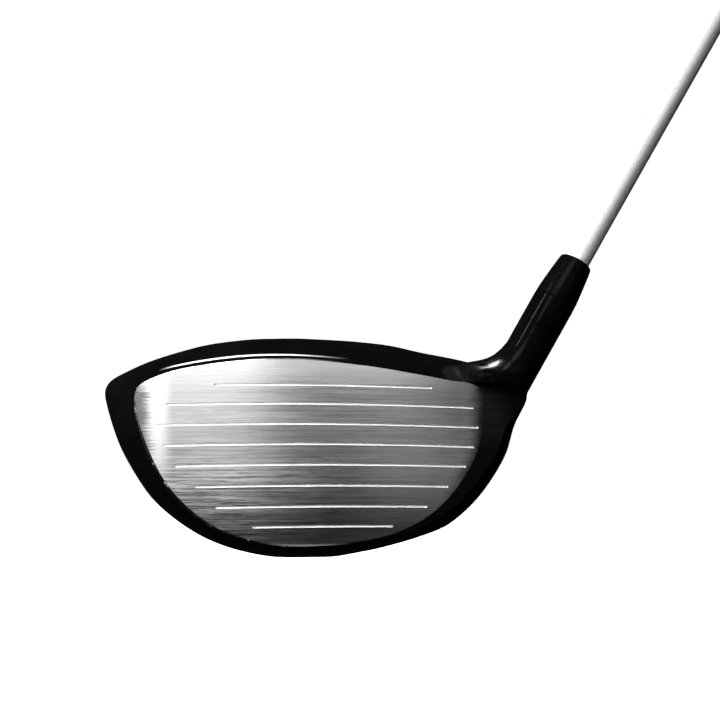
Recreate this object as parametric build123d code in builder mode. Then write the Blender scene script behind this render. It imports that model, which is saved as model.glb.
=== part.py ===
from build123d import *
import math
import os

os.makedirs("parts", exist_ok=True)

# Golf driver, right handed.  Millimetres, +Z up, +X toward the heel, +Y toward
# the tail, the face looks toward -Y.  The origin is the middle of the flat rest
# patch on the sole, with the club at address.

# ---- head ----
LOFT = 10.5                 # degrees, face lean-back
FACE_C = (0.0, -19.0, 31.0)  # middle of the face surface
BULGE_R = 305.0             # bulge and roll radius of the face
TAIL_Y = 86.0               # rearmost point of the head
TAIL_X, TAIL_Z = 3.0, 35.0
WALL = 1.7                  # cast body wall
FACE_T = 2.8                # face plate thickness
CROWN_T = 0.85              # crown panel thickness
CROWN_GAP = 0.05
LEDGE = 5.0                 # width of the bonding ledge under the crown panel
GROOVE_W, GROOVE_D = 0.7, 0.3

# ---- hosel, sleeve and shaft, measured along the shaft axis ----
LIE = 59.3                  # degrees
AXIS_Y = -1.5               # the shaft axis lies in the plane Y = AXIS_Y
AXIS_X0 = 33.1              # where the axis meets the ground
HOSEL_R = 7.0
A_RIM = 84.7                # hosel rim
RUN_GAP = 0.05              # running clearance, radial or end
BORE_R = 5.20               # hosel bore
INSERT_R = 5.15             # sleeve insert
INSERT_L = 36.0
COLLAR_L = 10.8
FERRULE_L = 15.4
FERRULE_TOP_R = 5.6
BOND_R = 4.08               # abraded end of the shaft, bonded in the sleeve
TIP_R = 4.22                # parallel painted section above the ferrule
TIP_END = 126.0             # end of the parallel section
BUTT_R = 7.62
BUTT_A = 1139.0
CLUB_A = 1143.0             # end of the grip cap
SHAFT_T = 1.0
TIP_BORE_R = 2.1            # the tip is thick walled
GRIP_A = 876.0
TAPE_T = 0.2
SPLINES = 8

# ---- rear weight ----
W_POS = (3.0, 64.0)         # plan position of the weight on the sole
W_TILT = 23.0               # degrees, the weight axis leans toward the tail
CUP_R, CUP_H = 11.5, 6.6

cL, sL = math.cos(math.radians(LOFT)), math.sin(math.radians(LOFT))
cA, sA = math.cos(math.radians(LIE)), math.sin(math.radians(LIE))

# (angle about the section centre, radius at the face rim, radius at full girth)
RIM = [(16, 65.14, 71.10), (20, 55.78, 67.60), (23.5, 50.04, 63.50), (27, 45.55, 59.57),
       (32, 40.69, 54.20), (40, 35.34, 47.50), (49, 31.38, 43.03), (60, 28.32, 39.03),
       (72, 26.46, 36.31), (84, 25.80, 35.08), (96, 26.19, 35.23), (108, 27.63, 36.55),
       (119, 30.00, 39.14), (129, 33.38, 42.65), (138, 37.76, 47.15), (145.5, 42.91, 51.80),
       (151.5, 48.32, 56.55), (156, 53.01, 60.60), (159.5, 56.52, 63.90), (162.5, 59.21, 66.80),
       (165.5, 59.97, 67.92), (169, 59.28, 66.60), (174, 57.65, 64.04), (181, 55.32, 60.78),
       (189, 52.47, 57.14), (198, 49.41, 53.70), (208, 45.95, 49.60), (219, 41.86, 45.60),
       (230, 37.78, 42.00), (241, 34.60, 39.05), (253, 31.97, 36.80), (265, 30.55, 35.37),
       (277, 30.40, 35.42), (289, 31.22, 36.10), (300, 32.73, 38.05), (310, 35.14, 40.85),
       (319, 38.22, 44.75), (327, 41.20, 48.80), (335, 44.12, 52.45), (343, 47.60, 55.95),
       (351, 51.53, 59.60), (359, 55.97, 63.40), (367.5, 61.53, 67.50)]
STATIONS = [-27, -22, -17.5, -13.5, -10, -6.5, -3, 1, 5, 10, 16, 24, 34, 45, 56, 66, 73,
            78.5, 82, 84.4, 85.6]


def face_y(x, z):
    """Y of the face sphere at a given X, Z."""
    cy = FACE_C[1] + BULGE_R * cL
    cz = FACE_C[2] - BULGE_R * sL
    q = BULGE_R ** 2 - (x - FACE_C[0]) ** 2 - (z - cz) ** 2
    return cy - math.sqrt(q)


def meridian(th, rf, rs, y):
    """X, Z of one meridian of the head at station y."""
    a = math.radians(th)
    ca, sa = math.cos(a), math.sin(a)
    xf, zf = TAIL_X + rf * ca, TAIL_Z + rf * sa
    xs, zs = TAIL_X + rs * ca, TAIL_Z + rs * sa
    if sa < 0:
        zs -= 0.3 * (-sa) ** 6
    yf = face_y(xf, zf)
    ys = 5.0 + (15.0 * sa ** 2 if sa > 0 else 0.0)
    if 327 <= th or th < 20:
        ys = 4.0
    if y <= ys:
        t = (y - yf) / (ys - yf)
        g = 1 - (1 - t) ** 2 if t > 0 else 2 * t
        if t < 0:
            g = max(2 * t, -1.3 + 0.15 * t)
        return xs + (xs - xf) * (g - 1), zs + (zs - zf) * (g - 1)
    t = (y - ys) / (TAIL_Y - ys)
    sx = max(1 - t ** 2.0, 0) ** 0.60
    if zs >= TAIL_Z:
        sz = max(1 - t ** 1.9, 0) ** 0.74
    else:
        sz = max(1 - t ** 2.2, 0) ** 0.62
    return TAIL_X + (xs - TAIL_X) * sx, TAIL_Z + (zs - TAIL_Z) * sz


def section(y, kx=1.0, kz=1.0):
    pts = []
    for th, rf, rs in RIM:
        x, z = meridian(th, rf, rs, y)
        pts.append((TAIL_X + (x - TAIL_X) * kx, TAIL_Z + (z - TAIL_Z) * kz))
    return pts


def closed_spline(pts):
    n = len(pts)
    par = [0.0]
    for i in range(n):
        a, b = RIM[i][0], RIM[(i + 1) % n][0]
        par.append(par[-1] + (b - a) % 360)
    par = [p / par[-1] for p in par]
    return Edge.make_spline([Vector(p[0], p[1]) for p in pts], periodic=True, parameters=par)


def blob(stations, kx, kz, ky):
    """Head volume with its girth scaled by kx, kz and its length by ky."""
    with BuildPart() as b:
        for y in stations:
            with BuildSketch(Plane.XZ.offset(-(30.0 + (y - 30.0) * ky))):
                with BuildLine():
                    add(closed_spline(section(y, kx, kz)))
                make_face()
        loft()
    return b.part


with BuildPart() as outer:
    add(blob(STATIONS, 1.0, 1.0, 1.0))

ADIR = Vector(cA, 0, sA)
E1 = Vector(sA, 0, -cA)


def axis_point(a):
    return Vector(AXIS_X0 + a * cA, AXIS_Y, a * sA)


def axis_plane(a, dy=0.0, dx=0.0):
    return Plane(origin=axis_point(a) + Vector(0, dy, 0) + E1 * dx, x_dir=E1, z_dir=ADIR)


# flared neck: (distance below the rim, toe flare, back flare, front flare)
NECK = [(0, 0, 0, 0), (3.5, 0, 0, 0), (6.5, -0.1, 0.0, 0), (9, 0.0, 0.15, 0.0), (12, 0.6, 0.9, 0.1),
        (15, 1.7, 2.0, 0.2), (18, 3.9, 4.2, 0.4), (20.5, 6.6, 6.8, 0.6), (23.0, 9.4, 9.2, 0.8),
        (26.5, 11.0, 10.5, 0.6), (31, 9.0, 8.0, 0.0)]
with BuildPart() as neck:
    for s, ft, fb, ff in NECK:
        with BuildSketch(axis_plane(A_RIM - s)):
            with BuildLine():
                pp = []
                for i in range(24):
                    ph = math.radians(15 * i)
                    r = HOSEL_R + ft * max(0, -math.cos(ph)) ** 1.6
                    r += fb * max(0, math.sin(ph)) ** 1.6 * (0.75 - 0.25 * math.cos(ph))
                    r += ff * max(0, -math.sin(ph)) ** 1.6 * (0.6 - 0.4 * math.cos(ph))
                    pp.append(Vector(r * math.cos(ph), r * math.sin(ph)))
                add(Edge.make_spline(pp, periodic=True, parameters=[i / 24 for i in range(25)]))
            make_face()
    loft()



# ---------------------------------------------------------------- trim tools
SPH_C = (FACE_C[0], FACE_C[1] + BULGE_R * cL, FACE_C[2] - BULGE_R * sL)
FACE_PL = Plane(origin=Vector(*FACE_C), x_dir=(1, 0, 0), z_dir=(0, -cL, sL))


def ball(r):
    with BuildPart() as s:
        with Locations(SPH_C):
            Sphere(r)
    return s.part


with BuildPart() as front:
    with Locations((0, -32, 30)):
        Box(220, 60, 130)
    add(ball(BULGE_R), mode=Mode.SUBTRACT)

with BuildPart() as below:
    with Locations((0, 0, -20)):
        Box(300, 300, 40)

# in front, the neck and the crown beside it end on the line where the face begins
HEEL_LINE = Plane(origin=(68.3, -6.1, 52.7), x_dir=(1, 0, 0), z_dir=(0.086, 0.181, 0.979))
with BuildPart() as heel_keep:
    with BuildSketch(HEEL_LINE):
        with Locations((10, -10)):
            Rectangle(60, 60)
    extrude(amount=40)
with BuildPart() as front_cut:
    add(front.part)
    add(heel_keep.part, mode=Mode.SUBTRACT)


def rod(a0, a1, r):
    """Cylinder about the shaft axis."""
    with BuildPart() as p:
        with BuildSketch(axis_plane(a0)):
            Circle(r)
        extrude(amount=a1 - a0)
    return p.part


def turned(points):
    """Solid of revolution about the shaft axis from (radius, a) points."""
    with BuildPart() as p:
        with BuildSketch(Plane(origin=axis_point(0), x_dir=E1, z_dir=E1.cross(ADIR))):
            with BuildLine():
                Polyline(*points, close=True)
            make_face()
        revolve(axis=Axis(axis_point(0), ADIR), revolution_arc=360)
    return p.part


def teeth(a0, a1, r0, r1, w):
    """Ring of radial blocks about the shaft axis."""
    with BuildPart() as p:
        with BuildSketch(axis_plane(a0)):
            with PolarLocations((r0 + r1) / 2, SPLINES):
                Rectangle(r1 - r0, w)
        extrude(amount=a1 - a0)
    return p.part


def prism(points, plane, d0, d1):
    with BuildPart() as p:
        with BuildSketch(plane.offset(d0)):
            with BuildLine():
                Spline(*points, periodic=True)
            make_face()
        extrude(amount=d1 - d0)
    return p.part


def shrink(points, d, hx, hy, c):
    return [(c[0] + (x - c[0]) * (1 - d / hx), c[1] + (y - c[1]) * (1 - d / hy)) for x, y in points]


def layer(d):
    """Head volume lying d inside the outer surface."""
    return blob(STATIONS[:-1], 1 - d / 64.0, 1 - d / 34.5, 1 - d / 56.0)


# ---------------------------------------------------------------- body shell
# face plate outline in the face plane
FACE_OUT = [(54.2, 22.9), (52.4, 24.4), (47.1, 25.2), (40.3, 25.95), (33.6, 26.9), (27, 27.8),
            (20.5, 28.7), (14.1, 29.4), (7.7, 30.0), (1.4, 30.5), (-4.9, 30.8), (-11.1, 30.8),
            (-17.3, 30.6), (-23.4, 30.1), (-29.5, 29.5), (-35.5, 28.6), (-41.5, 27.5), (-47.4, 25.9),
            (-50.6, 24.5), (-53.0, 22.9), (-54.4, 20.7), (-54.7, 18.2), (-54.5, 15.7), (-54.0, 12.0),
            (-52.8, 7.8), (-51.4, 3.8), (-49.3, -1.2), (-46.7, -6.1), (-43.2, -10.9), (-38.6, -15.6),
            (-32.1, -20.4), (-24.4, -23.7), (-15.7, -25.7), (-6.8, -26.2), (2.4, -26.1), (11.5, -25.4),
            (20.0, -23.8), (28.0, -20.9), (35.0, -16.9), (40.5, -12.2), (45.6, -6.4), (49.8, 0.0),
            (52.6, 6.5), (54.0, 12.5), (54.6, 18.5)]
FC = (0.0, 2.0)
PANEL = [(-50, 7), (-40, 2), (-25, -1.2), (-8, -2.6), (10, -2.4), (26, -0.6), (37, 4), (44, 12),
         (50, 22), (51.5, 32), (46.5, 44), (36, 55), (21, 64), (3, 67.5), (-15, 64), (-31, 55),
         (-43, 44), (-51, 31), (-54, 17)]
PC = (0.0, 32.0)

NECK_BLEND = 4.0
with BuildPart() as trimmed:
    add(outer.part)
    add(neck.part)
    seam = []
    for e in trimmed.part.edges():
        c = e.center()
        rim_end = any(abs((v.center() - axis_point(A_RIM)).dot(ADIR)) < 0.5 for v in e.vertices())
        if 36 < c.X < 80 and -12 < c.Y < 22 and 45 < c.Z < 68 and not rim_end:
            seam.append(e)
    fillet(seam, radius=NECK_BLEND)
    add(front_cut.part, mode=Mode.SUBTRACT)
    add(below.part, mode=Mode.SUBTRACT)

wt = math.radians(W_TILT)
W_DIR = Vector(0, math.sin(wt), -math.cos(wt))
_, sole_z = meridian(270, 30.45, 35.4, W_POS[1])
W_O = Vector(W_POS[0], W_POS[1], sole_z) - W_DIR * 0.5


def w_plane(d):
    """Plane across the weight axis, d outward from its face."""
    return Plane(origin=W_O + W_DIR * d, x_dir=(1, 0, 0), z_dir=W_DIR)


def w_rod(d0, d1, r):
    with BuildPart() as p:
        with BuildSketch(w_plane(d0)):
            Circle(r)
        extrude(amount=d1 - d0)
    return p.part


# hollow, with the hosel tube and the weight boss left standing
with BuildPart() as hollow:
    add(layer(WALL))
    add(ball(BULGE_R - FACE_T - 1.4), mode=Mode.INTERSECT)
    add(rod(0, A_RIM, 7.0), mode=Mode.SUBTRACT)
    add(w_rod(-CUP_H - 9.5, 12, CUP_R + 2.0), mode=Mode.SUBTRACT)
    with Locations((0, 0, WALL / 2 - 10)):
        Box(300, 300, 20 + WALL, mode=Mode.SUBTRACT)

with BuildPart() as panel_slot:
    add(prism(shrink(PANEL, -CROWN_GAP, 52, 35, PC), Plane.XY, 40, 90))
    add(layer(CROWN_T + CROWN_GAP), mode=Mode.SUBTRACT)

with BuildPart() as face_slot:
    add(prism(shrink(FACE_OUT, -CROWN_GAP, 54, 28, FC), FACE_PL, -16, 6))
    add(ball(BULGE_R - FACE_T - CROWN_GAP), mode=Mode.SUBTRACT)

with BuildPart() as body_shell:
    add(trimmed.part)
    add(hollow.part, mode=Mode.SUBTRACT)
    add(panel_slot.part, mode=Mode.SUBTRACT)
    add(prism(shrink(PANEL, LEDGE, 52, 35, PC), Plane.XY, 42, 90), mode=Mode.SUBTRACT)
    add(face_slot.part, mode=Mode.SUBTRACT)
    add(prism(shrink(FACE_OUT, 2.2, 54, 28, FC), FACE_PL, -18, 6), mode=Mode.SUBTRACT)
    add(rod(A_RIM - 38, A_RIM + 5, BORE_R), mode=Mode.SUBTRACT)
    add(teeth(A_RIM - 4.3, A_RIM + 5, 4.8, 5.95, 1.5), mode=Mode.SUBTRACT)
    add(rod(A_RIM - 42, A_RIM - 37, 2.75), mode=Mode.SUBTRACT)
    add(rod(-20, A_RIM - 41.2, 5.0), mode=Mode.SUBTRACT)
    add(w_rod(-CUP_H - 0.5, 14, CUP_R + 0.1), mode=Mode.SUBTRACT)
    add(w_rod(-CUP_H - 7.6, 0, 2.55), mode=Mode.SUBTRACT)

# ---------------------------------------------------------------- face plate
SCORES = [(-31.5, 37.3, 22.7), (-45.9, 51.0, 16.75), (-48.6, 52.2, 10.4), (-46.9, 50.2, 4.1),
          (-43.5, 47.0, -2.2), (-37.7, 40.6, -8.6), (-31.9, 33.4, -14.9), (-21.0, 22.1, -20.9)]
with BuildPart() as grooves:
    with BuildSketch(FACE_PL.offset(-12)):
        for x0, x1, v in SCORES:
            with Locations(((x0 + x1) / 2, v)):
                Rectangle(x1 - x0, GROOVE_W)
    extrude(amount=20)
    add(ball(BULGE_R - GROOVE_D), mode=Mode.SUBTRACT)

with BuildPart() as face_plate:
    add(prism(FACE_OUT, FACE_PL, -16, 6))
    add(ball(BULGE_R), mode=Mode.INTERSECT)
    add(ball(BULGE_R - FACE_T), mode=Mode.SUBTRACT)
    add(grooves.part, mode=Mode.SUBTRACT)

# ---------------------------------------------------------------- crown panel
with BuildPart() as crown_panel:
    add(trimmed.part)
    add(prism(PANEL, Plane.XY, 40, 90), mode=Mode.INTERSECT)
    add(layer(CROWN_T), mode=Mode.SUBTRACT)

# ---------------------------------------------------------------- hosel bolt
B0 = A_RIM - 41.2            # bulkhead underside
with BuildPart() as bolt_washer:
    add(rod(B0 - 1.0, B0, 4.7))
    add(rod(B0 - 2.0, B0 + 1, 2.8), mode=Mode.SUBTRACT)

with BuildPart() as head_bolt:
    add(rod(B0 - 6.0, B0 - 1.0 - RUN_GAP, 4.5))
    add(rod(B0 - 2.0, B0 + 13.0, 2.45))
    with BuildSketch(axis_plane(B0 - 6.0)):
        RegularPolygon(2.25, 6)
    extrude(amount=3.2, mode=Mode.SUBTRACT)

with BuildPart() as bolt_retainer:
    add(rod(B0 - 17.0, B0 - 15.0, 5.0))
    add(rod(B0 - 18.0, B0 - 14.0, 3.4), mode=Mode.SUBTRACT)

# ---------------------------------------------------------------- shaft sleeve
TIP_A = A_RIM - 24.0
with BuildPart() as shaft_sleeve:
    add(turned([(0, A_RIM - INSERT_L), (INSERT_R - 0.5, A_RIM - INSERT_L),
                (INSERT_R, A_RIM - INSERT_L + 0.5), (INSERT_R, A_RIM + RUN_GAP),
                (HOSEL_R - 0.25, A_RIM + RUN_GAP), (HOSEL_R, A_RIM + RUN_GAP + 0.25),
                (HOSEL_R, A_RIM + COLLAR_L - 0.3), (HOSEL_R - 0.3, A_RIM + COLLAR_L),
                (0, A_RIM + COLLAR_L)]))
    add(teeth(A_RIM - 4.0, A_RIM + 1.0, 4.8, 5.87, 1.3))
    add(rod(TIP_A - 0.1, A_RIM + 30, BOND_R + 0.05), mode=Mode.SUBTRACT)
    add(rod(A_RIM - INSERT_L - 2, TIP_A - 3.0, 2.55), mode=Mode.SUBTRACT)

# ---------------------------------------------------------------- ferrule
FA = A_RIM + COLLAR_L
with BuildPart() as ferrule:
    add(turned([(BOND_R + 0.05, FA), (HOSEL_R - 0.15, FA), (HOSEL_R - 0.02, FA + 0.4),
                (HOSEL_R - 0.12, FA + 3.0), (HOSEL_R - 0.40, FA + 6.0), (HOSEL_R - 0.65, FA + 8.5),
                (HOSEL_R - 0.92, FA + 11.0), (HOSEL_R - 1.15, FA + 13.0), (FERRULE_TOP_R, FA + FERRULE_L - 0.7),
                (FERRULE_TOP_R - 0.18, FA + FERRULE_L - 0.22), (FERRULE_TOP_R - 0.5, FA + FERRULE_L),
                (BOND_R + 0.05, FA + FERRULE_L)]))

# ---------------------------------------------------------------- shaft


def shaft_r(a):
    return TIP_R if a < TIP_END else TIP_R + (BUTT_R - TIP_R) * (a - TIP_END) / (BUTT_A - TIP_END)


with BuildPart() as shaft:
    add(turned([(BOND_R, TIP_A), (BOND_R, FA + FERRULE_L + 0.1), (TIP_R, FA + FERRULE_L + 0.1), (TIP_R, TIP_END),
                (BUTT_R, BUTT_A), (BUTT_R - SHAFT_T, BUTT_A),
                (shaft_r(700) - SHAFT_T, 700), (TIP_BORE_R, TIP_END + 80), (TIP_BORE_R, TIP_A)]))

# ---------------------------------------------------------------- grip
with BuildPart() as grip_tape:
    add(turned([(shaft_r(GRIP_A + 6), GRIP_A + 6), (shaft_r(GRIP_A + 6) + TAPE_T, GRIP_A + 6),
                (BUTT_R + TAPE_T, BUTT_A), (BUTT_R, BUTT_A)]))

G_OUT = [(9.1, GRIP_A), (9.5, GRIP_A + 1.2), (9.6, GRIP_A + 4), (10.2, GRIP_A + 60),
         (11.0, GRIP_A + 130), (11.9, GRIP_A + 190), (12.8, GRIP_A + 240), (13.2, BUTT_A)]
with BuildPart() as grip:
    add(turned([(shaft_r(GRIP_A) + TAPE_T, GRIP_A)] + G_OUT + [(BUTT_R + TAPE_T, BUTT_A)]))

with BuildPart() as grip_cap:
    add(turned([(1.5, BUTT_A), (13.4, BUTT_A), (13.7, BUTT_A + 0.8), (13.5, BUTT_A + 2.2),
                (12.4, BUTT_A + 3.3), (9.5, CLUB_A), (1.5, CLUB_A)]))

# ---------------------------------------------------------------- rear weight
with BuildPart() as weight_cup:
    add(w_rod(-CUP_H, 0, CUP_R))
    add(w_rod(-3.6, 1, 5.0), mode=Mode.SUBTRACT)
    add(w_rod(-CUP_H - 1, 1, 2.65), mode=Mode.SUBTRACT)
    add(w_rod(-CUP_H - 1, -CUP_H + 1.1, 4.4), mode=Mode.SUBTRACT)

with BuildPart() as weight_screw:
    add(w_rod(-3.5, -0.4, 4.4))
    add(w_rod(-CUP_H - 6.6, -3.0, 2.4))
    with BuildSketch(w_plane(-0.4)):
        RegularPolygon(2.2, 6)
    extrude(amount=-2.2, mode=Mode.SUBTRACT)

with BuildPart() as weight_clip:
    add(w_rod(-CUP_H + 0.15, -CUP_H + 0.95, 4.0))
    add(w_rod(-CUP_H - 1, -CUP_H + 2, 2.4), mode=Mode.SUBTRACT)

PARTS = {"head_body": body_shell, "face_plate": face_plate, "crown_panel": crown_panel,
         "hosel_bolt": head_bolt, "hosel_bolt_washer": bolt_washer,
         "hosel_bolt_retainer": bolt_retainer, "rear_weight": weight_cup,
         "rear_weight_screw": weight_screw, "rear_weight_clip": weight_clip,
         "shaft_sleeve": shaft_sleeve, "ferrule": ferrule, "shaft": shaft,
         "grip_tape": grip_tape, "grip": grip, "grip_cap": grip_cap}
for label, piece in PARTS.items():
    piece.part.label = label
    export_step(piece.part, "parts/" + label + ".step")
    s = piece.part.solids()
    bb = piece.part.bounding_box()
    print(label, len(s), piece.part.is_valid, round(piece.part.volume), bb.min, bb.max)
print("WEIGHT_O", W_O.X / 1000, W_O.Y / 1000, W_O.Z / 1000)
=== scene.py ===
import bpy
import bmesh
import math
from mathutils import Vector, Matrix

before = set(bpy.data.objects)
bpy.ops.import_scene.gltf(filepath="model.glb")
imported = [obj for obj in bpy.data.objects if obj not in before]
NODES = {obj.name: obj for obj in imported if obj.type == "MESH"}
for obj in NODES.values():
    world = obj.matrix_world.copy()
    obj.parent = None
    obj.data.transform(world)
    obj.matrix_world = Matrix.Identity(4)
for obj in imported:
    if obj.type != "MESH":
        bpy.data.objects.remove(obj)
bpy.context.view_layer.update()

# ------------------------------------------------------------ driving numbers
LOFT = math.radians(10.5)
FACE_C = Vector((0.0, -0.019, 0.031))
BULGE_R = 0.305
NF = Vector((0.0, -math.cos(LOFT), math.sin(LOFT)))
SPH = FACE_C - NF * BULGE_R
LIE = math.radians(59.3)
ADIR = Vector((math.cos(LIE), 0.0, math.sin(LIE)))
E1 = Vector((math.sin(LIE), 0.0, -math.cos(LIE)))
E2 = Vector((0.0, 1.0, 0.0))
AX0 = Vector((0.0331, -0.0015, 0.0))


def axis_point(a):
    return AX0 + ADIR * a


# ------------------------------------------------------------ node helpers
class Mat:
    """Small wrapper for building a node material."""

    def __init__(self, name):
        self.m = bpy.data.materials.new(name)
        self.m.use_nodes = True
        self.t = self.m.node_tree
        self.b = self.t.nodes["Principled BSDF"]
        self.co = self.node("ShaderNodeTexCoord").outputs["Object"]

    def node(self, kind, **props):
        n = self.t.nodes.new(kind)
        for k, v in props.items():
            setattr(n, k, v)
        return n

    def link(self, a, b):
        self.t.links.new(a, b)

    def put(self, n, socket, value):
        s = n.inputs[socket]
        if hasattr(value, "links"):
            self.link(value, s)
        else:
            s.default_value = value

    def scale(self, sx, sy, sz, src=None, rot=(0, 0, 0)):
        n = self.node("ShaderNodeMapping")
        n.inputs["Scale"].default_value = (sx, sy, sz)
        n.inputs["Rotation"].default_value = rot
        self.link(src or self.co, n.inputs["Vector"])
        return n.outputs["Vector"]

    def noise(self, vec, scale=1.0, detail=4.0, rough=0.55, dist=0.0):
        n = self.node("ShaderNodeTexNoise")
        self.link(vec, n.inputs["Vector"])
        n.inputs["Scale"].default_value = scale
        n.inputs["Detail"].default_value = detail
        n.inputs["Roughness"].default_value = rough
        n.inputs["Distortion"].default_value = dist
        return n.outputs["Fac"]

    def math(self, op, a, b=0.0, c=0.0, clamp=False):
        n = self.node("ShaderNodeMath", operation=op, use_clamp=clamp)
        self.put(n, 0, a)
        self.put(n, 1, b)
        if len(n.inputs) > 2:
            self.put(n, 2, c)
        return n.outputs[0]

    def ramp(self, fac, lo, hi, a=0.0, b=1.0):
        n = self.node("ShaderNodeMapRange", interpolation_type="SMOOTHSTEP")
        self.put(n, "Value", fac)
        n.inputs["From Min"].default_value = lo
        n.inputs["From Max"].default_value = hi
        n.inputs["To Min"].default_value = a
        n.inputs["To Max"].default_value = b
        return n.outputs["Result"]

    def lin(self, fac, lo, hi, a=0.0, b=1.0):
        n = self.node("ShaderNodeMapRange", interpolation_type="LINEAR")
        self.put(n, "Value", fac)
        n.inputs["From Min"].default_value = lo
        n.inputs["From Max"].default_value = hi
        n.inputs["To Min"].default_value = a
        n.inputs["To Max"].default_value = b
        return n.outputs["Result"]

    def mix(self, fac, a, b):
        n = self.node("ShaderNodeMix", data_type="RGBA")
        self.put(n, 0, fac)
        for i, v in ((6, a), (7, b)):
            if hasattr(v, "links"):
                self.link(v, n.inputs[i])
            else:
                n.inputs[i].default_value = (v[0], v[1], v[2], 1.0)
        return n.outputs[2]

    def xyz(self):
        n = self.node("ShaderNodeSeparateXYZ")
        self.link(self.co, n.inputs[0])
        return n.outputs

    def dist(self, point):
        n = self.node("ShaderNodeVectorMath", operation="DISTANCE")
        self.link(self.co, n.inputs[0])
        n.inputs[1].default_value = point
        return n.outputs["Value"]

    def dot(self, vec, offset=(0, 0, 0)):
        s = self.node("ShaderNodeVectorMath", operation="SUBTRACT")
        self.link(self.co, s.inputs[0])
        s.inputs[1].default_value = offset
        n = self.node("ShaderNodeVectorMath", operation="DOT_PRODUCT")
        self.link(s.outputs[0], n.inputs[0])
        n.inputs[1].default_value = vec
        return n.outputs["Value"]

    def bump(self, height, strength, distance, normal=None):
        n = self.node("ShaderNodeBump")
        n.inputs["Strength"].default_value = strength
        n.inputs["Distance"].default_value = distance
        self.link(height, n.inputs["Height"])
        if normal is not None:
            self.link(normal, n.inputs["Normal"])
        return n.outputs["Normal"]

    def set(self, **kw):
        for k, v in kw.items():
            self.put(self.b, k.replace("_", " "), v)
        return self


def paint(obj, mat):
    obj.data.materials.clear()
    obj.data.materials.append(mat.m)


def smooth(obj, angle=35):
    me = obj.data
    for p in me.polygons:
        p.use_smooth = True
    me.set_sharp_from_angle(angle=math.radians(angle))


# ------------------------------------------------------------ materials
def gloss_black():
    m = Mat("gloss_black_lacquer")
    x, y, z = m.xyz()
    d = m.math("ABSOLUTE", m.math("SUBTRACT", m.dist(SPH), BULGE_R))
    land = m.math("LESS_THAN", d, 0.00006)                     # surface of the face sphere
    heel = m.math("MULTIPLY", land, m.ramp(x, 0.040, 0.052))
    fine = m.noise(m.scale(900, 900, 900), 1.0, 3, 0.6)
    haze = m.noise(m.scale(60, 60, 60), 1.0, 4, 0.6)
    base = m.mix(m.ramp(haze, 0.35, 0.7), (0.0012, 0.0012, 0.0013), (0.0024, 0.0024, 0.0025))
    # bare metal along the edge around the face, kept to the toe side where the edge catches the light: partly real bare
    # metal, partly a painted highlight
    toe = m.ramp(x, 0.010, -0.020)
    bare_edge_and_highlight = m.math("MULTIPLY", m.math("MULTIPLY", land, toe), m.ramp(m.noise(m.scale(400, 400, 400), 1.0, 3), 0.22, 0.42))
    streak = m.noise(m.scale(40, 40, 1800), 1.0, 5, 0.65)
    heelc = m.mix(m.ramp(streak, 0.3, 0.7), (0.006, 0.006, 0.0062), (0.012, 0.0122, 0.0122))
    heelc = m.mix(m.math("MAXIMUM", m.ramp(x, 0.055, 0.068), m.ramp(z, 0.046, 0.030)), heelc, (0.0022, 0.0022, 0.0023))
    col = m.mix(heel, base, heelc)
    col = m.mix(bare_edge_and_highlight, col, (0.72, 0.72, 0.73))
    rough = m.math("ADD", m.ramp(fine, 0.3, 0.8, 0.10, 0.16), m.math("MULTIPLY", heel, 0.26))
    # painted highlight: a thin pale stripe along the rolled edge above the face, toe half only
    deep = m.math("SUBTRACT", m.dist(SPH), BULGE_R)
    painted_edge_highlight = m.math("MULTIPLY", m.ramp(deep, -0.00150, -0.00170), m.ramp(deep, -0.00245, -0.00215))
    painted_edge_highlight = m.math("MULTIPLY", m.math("MULTIPLY", painted_edge_highlight, m.math("GREATER_THAN", z, 0.050)),
                  m.math("MULTIPLY", m.ramp(x, 0.012, -0.018), m.ramp(x, -0.048, -0.038)))
    col = m.mix(painted_edge_highlight, col, (0.85, 0.85, 0.86))
    blend = m.ramp(m.dist((0.0600, -0.0078, 0.0612)), 0.0052, 0.0022)
    rough = m.math("ADD", rough, m.math("MULTIPLY", blend, 0.10))
    rough = m.math("ADD", rough, m.ramp(m.dist((0.0480, -0.0090, 0.0585)), 0.0075, 0.0045, 0.0, 0.35))
    m.set(Base_Color=col, Roughness=rough, Metallic=bare_edge_and_highlight)
    m.b.inputs["Coat Weight"].default_value = 0.0
    m.set(Specular_IOR_Level=m.math("ADD", 0.03, m.math("MULTIPLY", blend, 0.30)))
    m.set(Normal=m.bump(haze, 0.03, 0.0002))
    return m


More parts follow.
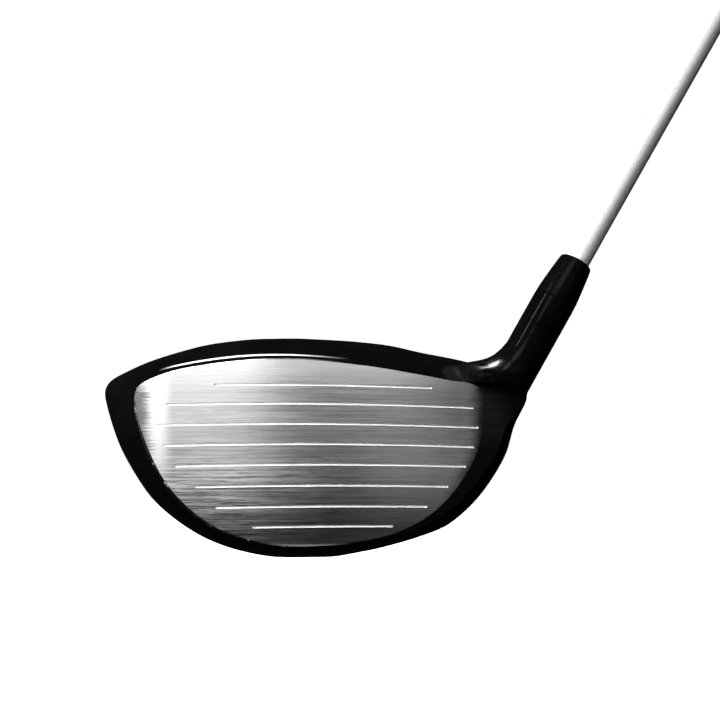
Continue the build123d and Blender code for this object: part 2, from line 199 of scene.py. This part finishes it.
def face_metal():
    m = Mat("brushed_face_metal")
    x, y, z = m.xyz()
    v = m.dot(Vector((0, math.sin(LOFT), math.cos(LOFT))), FACE_C)
    # long horizontal brushing, with shorter scratches over it
    long_ = m.noise(m.scale(26, 5, 1500), 1.0, 5, 0.72)
    fine = m.noise(m.scale(160, 5, 5200), 1.0, 4, 0.7)
    patch = m.noise(m.scale(70, 5, 260), 1.0, 4, 0.6, 0.4)
    s = m.math("ADD", m.math("MULTIPLY", long_, 0.6), m.math("MULTIPLY", fine, 0.4))
    low = m.math("MULTIPLY", m.ramp(v, 0.004, -0.014), m.ramp(x, 0.010, -0.034))
    tone = m.mix(m.ramp(s, 0.36, 0.66), (0.30, 0.30, 0.305), (0.56, 0.56, 0.57))
    worn = m.mix(m.ramp(s, 0.45, 0.56), (0.16, 0.16, 0.165), (0.93, 0.93, 0.93))
    tone = m.mix(m.math("MULTIPLY", low, m.ramp(patch, 0.30, 0.55, 0.35, 1.0)), tone, worn)
    # painted highlight: a bright upright stripe painted near the toe
    painted_toe_highlight = m.math("MULTIPLY", m.ramp(x, -0.0435, -0.0485), m.ramp(v, -0.012, 0.002))
    tone = m.mix(m.math("MULTIPLY", painted_toe_highlight, 0.75), tone, (0.95, 0.95, 0.95))
    # painted highlight: the face is painted lighter along its upper edge, more so toward the heel; painted shade
    # darkens it toward the sole
    painted_upper_highlight = m.math("MULTIPLY", m.ramp(v, 0.019, 0.030), m.ramp(x, -0.032, 0.004, 0.12, 0.62))
    tone = m.mix(painted_upper_highlight, tone, (0.93, 0.93, 0.93))
    tone = m.mix(m.ramp(v, -0.001, -0.024, 0.0, 0.74), tone, (0.02, 0.02, 0.021))
    # the face is painted dark and less metallic over the heel end with a soft fade, and darker along the toe edge
    edge = m.math("ADD", x, m.math("MULTIPLY", m.math("SUBTRACT", patch, 0.5), 0.006))
    vv = m.math("MAXIMUM", m.math("SUBTRACT", 0.003, v), 0.0)
    up = m.math("MAXIMUM", m.math("SUBTRACT", v, 0.003), 0.0)
    bound = m.math("ADD", m.math("SUBTRACT", 0.0502, m.math("MULTIPLY", vv, 0.58)), m.math("MULTIPLY", up, 0.11))
    heel = m.ramp(m.math("SUBTRACT", edge, bound), -0.0068, 0.0024)
    tone = m.mix(heel, tone, (0.011, 0.0115, 0.0115))
    toe = m.math("MULTIPLY", m.ramp(m.math("ADD", x, m.math("MULTIPLY", m.math("SUBTRACT", s, 0.5), 0.016)), -0.0490, -0.0530),
                 m.ramp(v, 0.026, 0.020))
    tone = m.mix(m.math("MULTIPLY", toe, 0.85), tone, (0.05, 0.05, 0.05))
    # the score lines are coloured white and not metallic
    fill = m.math("LESS_THAN", m.dist(SPH), BULGE_R - 0.00012)
    tone = m.mix(fill, tone, (1.0, 1.0, 1.0))
    metal = m.math("MULTIPLY", m.math("SUBTRACT", 1.0, fill), m.math("SUBTRACT", 1.0, m.math("MULTIPLY", heel, 0.7)))
    rough = m.ramp(s, 0.3, 0.7, 0.27, 0.42)
    m.set(Base_Color=tone, Metallic=metal, Roughness=rough)
    m.b.inputs["Anisotropic"].default_value = 0.8
    m.b.inputs["Anisotropic Rotation"].default_value = 0.0
    # the scratches run heel to toe, so the sheen spreads up and down the face
    tan = m.node("ShaderNodeVectorTransform", vector_type="VECTOR", convert_from="OBJECT", convert_to="WORLD")
    tan.inputs[0].default_value = (0.0, math.sin(LOFT), math.cos(LOFT))
    m.link(tan.outputs[0], m.b.inputs["Tangent"])
    m.set(Normal=m.bump(s, 0.25, 0.00004))
    return m


def simple(name, c0, c1, r0, r1, metal=0.0, scale=300.0, bump=0.1, depth=0.00005, streak=None, spec=0.5, coat=0.0):
    m = Mat(name)
    vec = m.scale(*(streak or (scale, scale, scale)))
    n = m.noise(vec, 1.0, 5, 0.6)
    big = m.noise(m.scale(scale / 12, scale / 12, scale / 12), 1.0, 3, 0.5)
    f = m.math("ADD", m.math("MULTIPLY", n, 0.6), m.math("MULTIPLY", big, 0.4))
    m.set(Base_Color=m.mix(m.ramp(f, 0.3, 0.7), c0, c1), Roughness=m.ramp(n, 0.3, 0.7, r0, r1))
    m.b.inputs["Metallic"].default_value = metal
    m.b.inputs["Specular IOR Level"].default_value = spec
    m.b.inputs["Coat Weight"].default_value = coat
    m.set(Normal=m.bump(n, bump, depth))
    return m


BLACK = gloss_black()
FACE = face_metal()
CROWN = simple("gloss_black_crown", (0.0012, 0.0012, 0.0013), (0.0024, 0.0024, 0.0025), 0.10, 0.16, scale=60, bump=0.03, depth=0.0002, spec=0.03)
STEEL = simple("machined_steel", (0.30, 0.30, 0.31), (0.55, 0.55, 0.56), 0.22, 0.4, metal=1.0, scale=900)
NYLON = simple("moulded_nylon", (0.03, 0.03, 0.03), (0.055, 0.055, 0.055), 0.5, 0.65, scale=800)
TUNG = simple("dark_plated_weight", (0.03, 0.03, 0.032), (0.07, 0.07, 0.072), 0.25, 0.4, metal=1.0, scale=900)
SLEEVE = simple("black_anodised_sleeve", (0.0010, 0.0010, 0.0011), (0.0022, 0.0022, 0.0023), 0.10, 0.16, scale=60, bump=0.02, depth=0.0001, spec=0.035)
FERR = simple("satin_ferrule", (0.0010, 0.0010, 0.0010), (0.0022, 0.0022, 0.0022), 0.20, 0.28, scale=120, bump=0.03, spec=0.03)
TAPE = simple("paper_tape", (0.55, 0.52, 0.44), (0.68, 0.65, 0.56), 0.7, 0.85, scale=500)
SHAFT = simple("silver_shaft_paint", (0.70, 0.70, 0.71), (0.76, 0.76, 0.77), 0.24, 0.30, metal=0.15, scale=2500, bump=0.01, depth=0.00001, spec=0.4)


def grip_rubber():
    """Moulded rubber: crossed helical grooves, with plain bands every 38 mm."""
    m = Mat("grip_rubber")
    along = m.dot(ADIR, AX0)
    rx, ry = m.dot(E1, AX0), m.dot(E2, AX0)
    ang = m.math("ARCTAN2", ry, rx)
    turn = m.math("MULTIPLY", ang, 16.0 / (2 * math.pi))
    step = m.math("MULTIPLY", along, 1.0 / 0.0048)
    g1 = m.math("PINGPONG", m.math("ADD", turn, step), 0.5)
    g2 = m.math("PINGPONG", m.math("SUBTRACT", step, turn), 0.5)
    groove = m.math("MINIMUM", m.ramp(g1, 0.02, 0.14), m.ramp(g2, 0.02, 0.14))
    ring = m.math("PINGPONG", m.math("MULTIPLY", along, 1.0 / 0.038), 0.5)
    plain = m.ramp(ring, 0.05, 0.07)
    low = m.math("SUBTRACT", 1.0, m.math("MULTIPLY", m.math("SUBTRACT", 1.0, groove), plain))
    fine = m.noise(m.scale(1500, 1500, 1500), 1.0, 4, 0.6)
    big = m.noise(m.scale(30, 30, 30), 1.0, 4, 0.6)
    col = m.mix(m.ramp(big, 0.3, 0.7), (0.014, 0.014, 0.0142), (0.030, 0.030, 0.030))
    # painted shade: the grooves are coloured darker than the rubber around them
    col = m.mix(low, (0.006, 0.006, 0.006), col)
    height = m.math("ADD", low, m.math("MULTIPLY", fine, 0.12))
    m.set(Base_Color=col, Roughness=m.math("ADD", m.ramp(fine, 0.3, 0.8, 0.50, 0.70), m.math("MULTIPLY", low, -0.06)))
    m.b.inputs["Specular IOR Level"].default_value = 0.35
    m.set(Normal=m.bump(height, 0.6, 0.0004))
    return m


GRIP = grip_rubber()
CAP = simple("cap_rubber", (0.012, 0.012, 0.012), (0.028, 0.028, 0.028), 0.5, 0.7, scale=1200, bump=0.2, depth=0.0001, spec=0.35)

for name, mat, ang in (("head_body", BLACK, 30), ("crown_panel", CROWN, 30), ("face_plate", FACE, 30), ("hosel_bolt", STEEL, 30),
                       ("hosel_bolt_washer", STEEL, 30), ("hosel_bolt_retainer", NYLON, 30), ("rear_weight", TUNG, 30),
                       ("rear_weight_screw", STEEL, 30), ("rear_weight_clip", STEEL, 30), ("shaft_sleeve", SLEEVE, 30),
                       ("ferrule", FERR, 30), ("shaft", SHAFT, 30), ("grip_tape", TAPE, 30), ("grip", GRIP, 30), ("grip_cap", CAP, 30)):
    paint(NODES[name], mat)
print("MESH", {k: (len(o.data.vertices), len(o.data.polygons)) for k, o in NODES.items()})


# ------------------------------------------------------------ stage, light, camera
def floor():
    bm = bmesh.new()
    n, s = 24, 3.0
    for i in range(n + 1):
        for j in range(n + 1):
            bm.verts.new(((i / n - 0.5) * 2 * s, (j / n - 0.5) * 2 * s, 0.0))
    bm.verts.ensure_lookup_table()
    for i in range(n):
        for j in range(n):
            a = i * (n + 1) + j
            bm.faces.new([bm.verts[k] for k in (a, a + n + 1, a + n + 2, a + 1)])
    me = bpy.data.meshes.new("floor")
    bm.to_mesh(me)
    bm.free()
    o = bpy.data.objects.new("floor", me)
    bpy.context.scene.collection.objects.link(o)
    m = Mat("pale_floor")
    n1 = m.noise(m.scale(3, 3, 3), 1.0, 4)
    m.set(Base_Color=m.mix(m.ramp(n1, 0.3, 0.7), (0.93, 0.93, 0.93), (0.97, 0.97, 0.97)), Roughness=m.ramp(n1, 0.3, 0.7, 0.85, 0.95))
    m.b.inputs["Specular IOR Level"].default_value = 0.1
    m.b.inputs["Emission Color"].default_value = (1, 1, 1, 1)
    far = m.dist((0, 0, 0))
    m.set(Emission_Strength=m.ramp(far, 0.15, 0.9, 0.84, 1.05))
    o.data.materials.append(m.m)
    o.location.z = -0.045       # clear of the head when it is slid off its sleeve
    o.visible_glossy = False
    o.visible_diffuse = False
    return o


floor()

world = bpy.data.worlds.new("studio")
bpy.context.scene.world = world
world.use_nodes = True
wt = world.node_tree
bg = wt.nodes["Background"]
lp = wt.nodes.new("ShaderNodeLightPath")
mixn = wt.nodes.new("ShaderNodeMix")
mixn.data_type = "FLOAT"
mixn.inputs[2].default_value = 0.006
mixn.inputs[3].default_value = 1.05
wt.links.new(lp.outputs["Is Camera Ray"], mixn.inputs[0])
bg.inputs["Color"].default_value = (1, 1, 1, 1)
wt.links.new(mixn.outputs[0], bg.inputs["Strength"])


def area(name, az, el, dist, w, h, watts, target=(0.0, -0.01, 0.035), glossy=True, spread=180):
    """Softbox seen from the target at azimuth az (0 = in front of the face, + = heel side)."""
    t = Vector(target)
    a, e = math.radians(az), math.radians(el)
    p = t + Vector((math.sin(a) * math.cos(e), -math.cos(a) * math.cos(e), math.sin(e))) * dist
    l = bpy.data.lights.new(name, "AREA")
    l.shape = "RECTANGLE"
    l.size, l.size_y = w, h
    l.energy = watts
    l.spread = math.radians(spread)
    o = bpy.data.objects.new(name, l)
    o.location = p
    o.rotation_euler = (t - p).to_track_quat("-Z", "Y").to_euler()
    o.visible_glossy = glossy
    bpy.context.scene.collection.objects.link(o)
    return o


area("key", -14, 43, 1.3, 0.62, 0.40, 5.2)
area("top_soft", 12, 50, 1.5, 1.1, 0.30, 2.6)
area("left_wall", -74, 24, 1.2, 0.8, 1.0, 36.0, target=(0.09, 0.0, 0.12), glossy=False)
area("fill_right", 30, 20, 1.5, 0.50, 0.5, 0.60)
area("back_fill", 168, 34, 2.0, 1.6, 1.2, 34.0, target=(0.3, 0.0, 0.4), glossy=False)
area("neck_spot", 124, 77, 1.0, 0.20, 0.20, 7.0, target=(0.0585, -0.008, 0.060))
area("hosel_strip", -72, 45, 1.2, 0.05, 0.30, 2.6, target=(0.075, -0.006, 0.080))
area("floor_wash", -60, 72, 2.2, 3.0, 3.0, 14, glossy=False)

cam = bpy.data.cameras.new("camera")
cam.lens = 74.25
cam.sensor_width = 36.0
cam.clip_start = 0.01
cam.clip_end = 50.0
co = bpy.data.objects.new("camera", cam)
co.location = (-0.0894424, -0.4601875, 0.0283164)
co.rotation_euler = (math.radians(90 + 4.0829), 0.0, math.radians(-13.0))
bpy.context.scene.collection.objects.link(co)
bpy.context.scene.camera = co
bpy.context.scene.view_settings.view_transform = "Standard"
